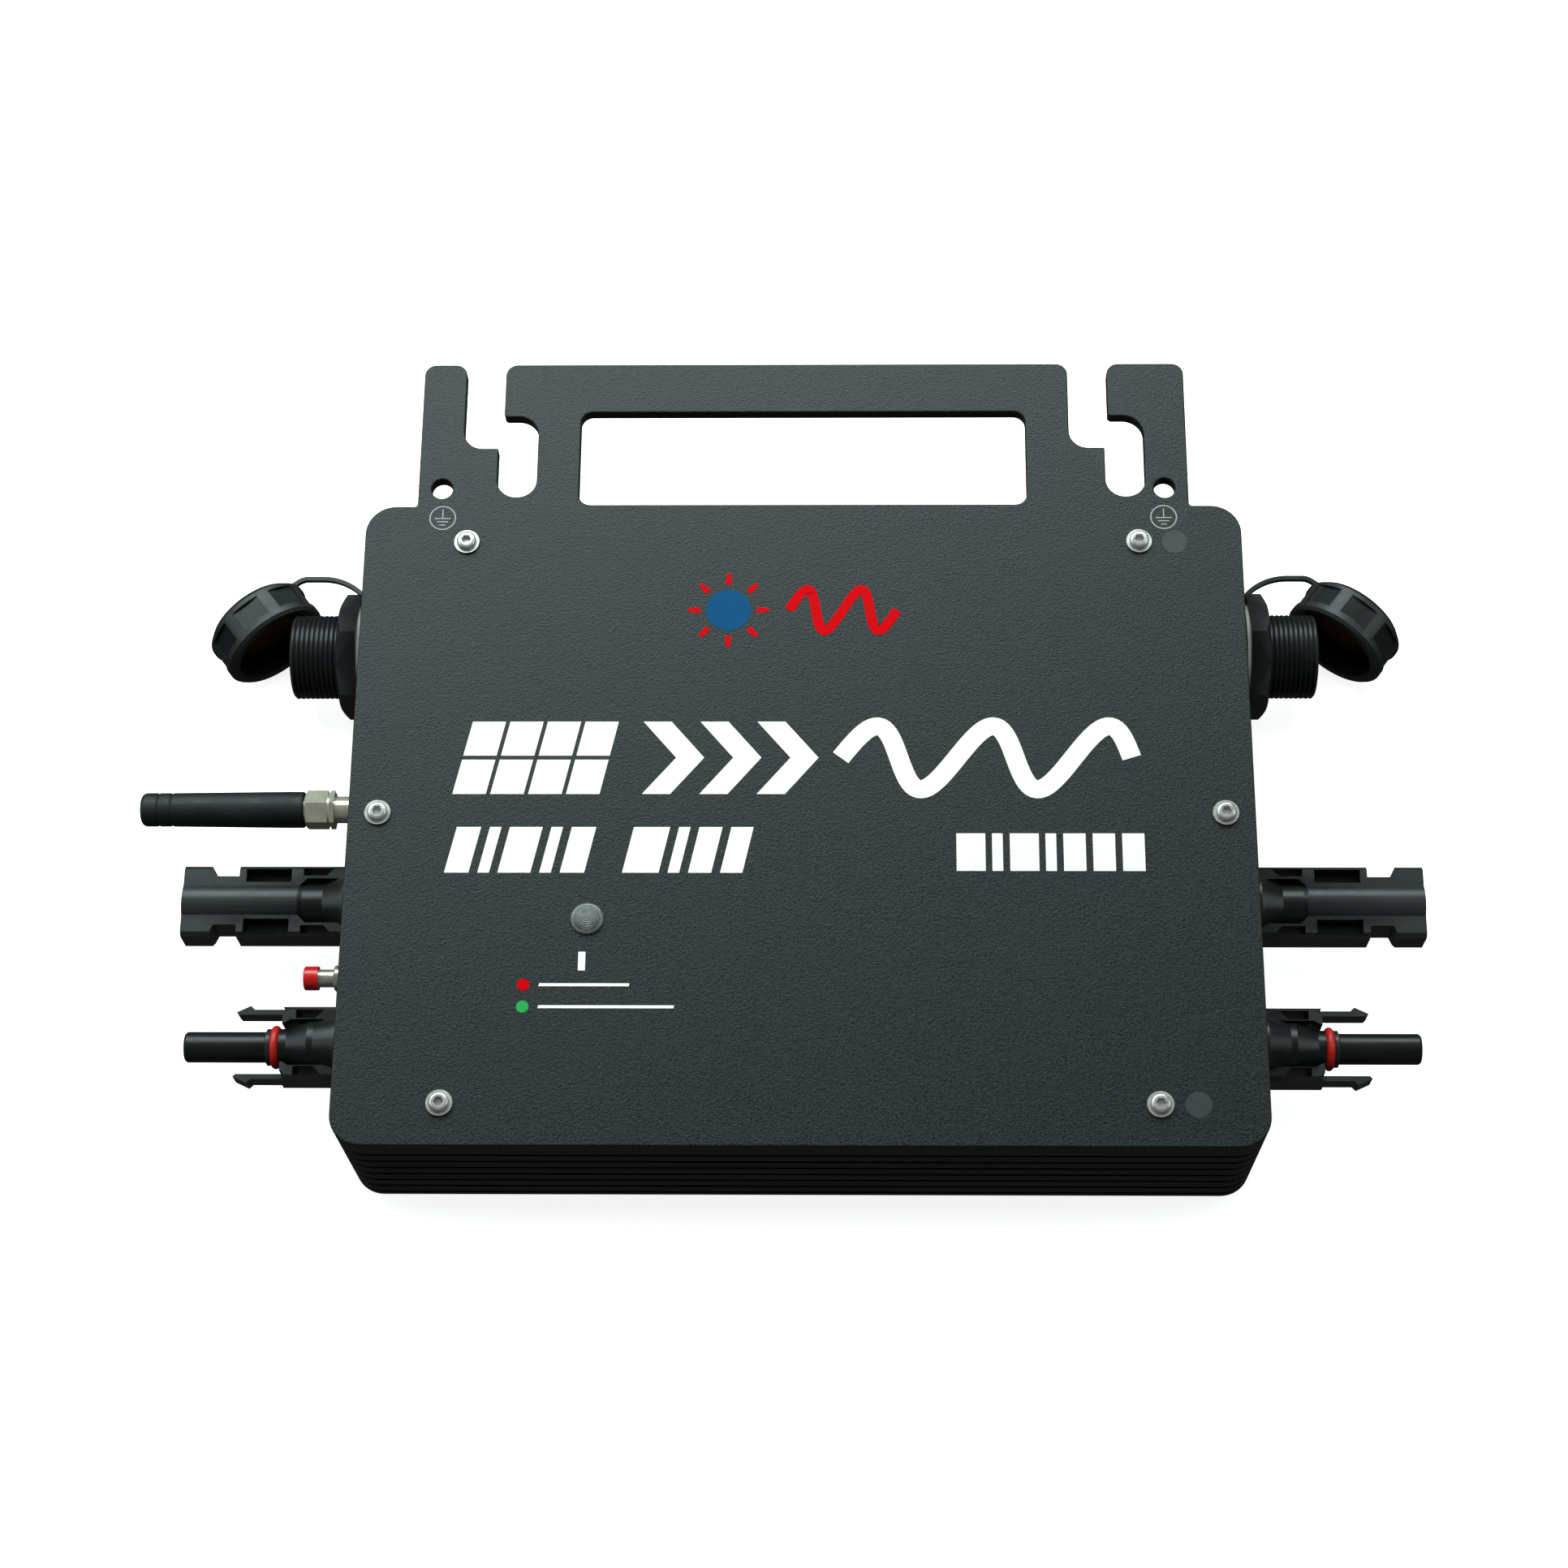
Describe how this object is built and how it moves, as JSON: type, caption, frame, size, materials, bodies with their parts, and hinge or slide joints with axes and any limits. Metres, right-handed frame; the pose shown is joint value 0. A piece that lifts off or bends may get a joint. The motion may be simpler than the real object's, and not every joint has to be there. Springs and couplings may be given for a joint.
{
  "type": "micro inverter",
  "caption": "Flat finned box with two hanging hooks, a handle, tethered-cap AC sockets, DC plugs and sockets, an antenna and a push button.",
  "frame": {"origin": "centre of the housing's rear face", "axes": "+X to the right seen from the cover, +Y towards the hanging hooks, +Z out of the cover plate"},
  "size_m": [0.2971, 0.1929, 0.044],
  "materials": {
    "coated_metal": "dark charcoal powder coat, fine sand texture",
    "plate_coat": "dark charcoal powder coat, fine sand texture",
    "label_film": "satin film",
    "gasket_rubber": "matt",
    "stainless": "satin stainless",
    "clear_lens": "clear moulded",
    "light_body": "diffuse",
    "dot_paint": "satin",
    "socket_plastic": "satin black",
    "insert_plastic": "satin black",
    "tinned_contact": "tin plate",
    "tether_plastic": "satin black, flexible",
    "cap_plastic": "satin black",
    "cap_seal_rubber": "reddish brown",
    "spacer_plastic": "pale grey",
    "connector_plastic": "satin black",
    "seal_red": "smooth",
    "nut_steel": "zinc plate",
    "pale_gold": "pale gold plate",
    "whip_rubber": "matt moulded",
    "nickel": "nickel plate",
    "button_red": "gloss",
    "switch_plastic": "satin",
    "board_green": "solder mask",
    "ferrite": "ferrite with yellow tape",
    "can_sleeve": "sleeved can",
    "package_epoxy": "moulded epoxy",
    "clamp_aluminium": "mill finish",
    "choke_copper": "enamelled copper",
    "relay_plastic": "moulded",
    "module_shield": "tinned",
    "lead_jacket": "jacket"
  },
  "bodies": {
    "inverter": {"ac_leads": "lead_jacket", "ac_panel_nuts": "nut_steel", "ac_socket_insert_left": "insert_plastic", "ac_socket_insert_right": "insert_plastic", "ac_socket_pins_left": "tinned_contact", "ac_socket_pins_right": "tinned_contact", "ac_socket_shell_left": "socket_plastic", "ac_socket_shell_right": "socket_plastic", "antenna_jack": "pale_gold", "antenna_jack_nut": "pale_gold", "antenna_lead": "lead_jacket", "board_screws": "stainless", "bulk_capacitors": "can_sleeve", "button_bushing": "nickel", "button_nut": "nickel", "button_switch": "switch_plastic", "cover_gasket": "gasket_rubber", "cover_plate": "plate_coat", "cover_screws": "stainless", "dc_leads": "lead_jacket", "dc_panel_nuts": "nut_steel", "dc_plug_contact_left": "tinned_contact", "dc_plug_contact_right": "tinned_contact", "dc_plug_housing_left": "connector_plastic", "dc_plug_housing_right": "connector_plastic", "dc_plug_seal_left": "seal_red", "dc_plug_seal_right": "seal_red", "dc_socket_contact_left": "tinned_contact", "dc_socket_contact_right": "tinned_contact", "dc_socket_housing_left": "connector_plastic", "dc_socket_housing_right": "connector_plastic", "grid_relays": "relay_plastic", "heatsink_housing": "coated_metal", "inspection_dots": "dot_paint", "led_lens": "clear_lens", "line_choke": "choke_copper", "main_board": "board_green", "power_transformers": "ferrite", "power_transistors": "package_epoxy", "radio_module": "module_shield", "rating_label": "label_film", "status_led": "light_body", "tether_spacers": "spacer_plastic", "transistor_clamp": "clamp_aluminium"},
    "tether_left": {"cap_tether_left": "tether_plastic"},
    "cap_left": {"cap_left": "cap_plastic", "cap_seal_left": "cap_seal_rubber"},
    "latch_left_upper": {"latch_left_upper": "connector_plastic"},
    "latch_left_lower": {"latch_left_lower": "connector_plastic"},
    "tether_right": {"cap_tether_right": "tether_plastic"},
    "cap_right": {"cap_right": "cap_plastic", "cap_seal_right": "cap_seal_rubber"},
    "latch_right_upper": {"latch_right_upper": "connector_plastic"},
    "latch_right_lower": {"latch_right_lower": "connector_plastic"},
    "antenna": {"antenna_whip": "whip_rubber", "antenna_ferrule": "pale_gold"},
    "antenna_collar": {"antenna_nut": "pale_gold"},
    "button": {"button_plunger": "nickel", "button_cap": "button_red"}
  },
  "joints": [
    {"name": "button_press", "type": "slide", "parent": "inverter", "child": "button", "axis": [1, 0, 0], "range_m": [0, 0.002], "stiffness_N_per_m": 300},
    {"name": "antenna_turn", "type": "hinge", "parent": "inverter", "child": "antenna", "pos_m": [-0.1025, 0.0096, 0.019], "axis": [-1, 0, 0], "continuous": true},
    {"name": "antenna_nut_turn", "type": "hinge", "parent": "antenna", "child": "antenna_collar", "pos_m": [-0.1025, 0.0096, 0.019], "axis": [-1, 0, 0], "continuous": true},
    {"name": "left_tether_swing", "type": "hinge", "parent": "inverter", "child": "tether_left", "pos_m": [-0.1025, 0.0487, 0.019], "axis": [1, 0, 0], "range_deg": [0, 170]},
    {"name": "left_cap_turn", "type": "hinge", "parent": "tether_left", "child": "cap_left", "pos_m": [-0.13341, 0.06248, 0.01411], "axis": [0.6084, -0.7929, 0.0349], "continuous": true},
    {"name": "left_upper_latch_flex", "type": "hinge", "parent": "inverter", "child": "latch_left_upper", "pos_m": [-0.1175, -0.0408, 0.019], "axis": [0, 0, 1], "range_deg": [0, 6], "stiffness_Nm_per_rad": 0.02},
    {"name": "left_lower_latch_flex", "type": "hinge", "parent": "inverter", "child": "latch_left_lower", "pos_m": [-0.1175, -0.056, 0.019], "axis": [0, 0, -1], "range_deg": [0, 6], "stiffness_Nm_per_rad": 0.02},
    {"name": "right_tether_swing", "type": "hinge", "parent": "inverter", "child": "tether_right", "pos_m": [0.1025, 0.0487, 0.019], "axis": [1, 0, 0], "range_deg": [0, 170]},
    {"name": "right_cap_turn", "type": "hinge", "parent": "tether_right", "child": "cap_right", "pos_m": [0.13341, 0.06248, 0.01411], "axis": [-0.6084, -0.7929, 0.0349], "continuous": true},
    {"name": "right_upper_latch_flex", "type": "hinge", "parent": "inverter", "child": "latch_right_upper", "pos_m": [0.1175, -0.0408, 0.019], "axis": [0, 0, -1], "range_deg": [0, 6], "stiffness_Nm_per_rad": 0.02},
    {"name": "right_lower_latch_flex", "type": "hinge", "parent": "inverter", "child": "latch_right_lower", "pos_m": [0.1175, -0.056, 0.019], "axis": [0, 0, 1], "range_deg": [0, 6], "stiffness_Nm_per_rad": 0.02}
  ]
}
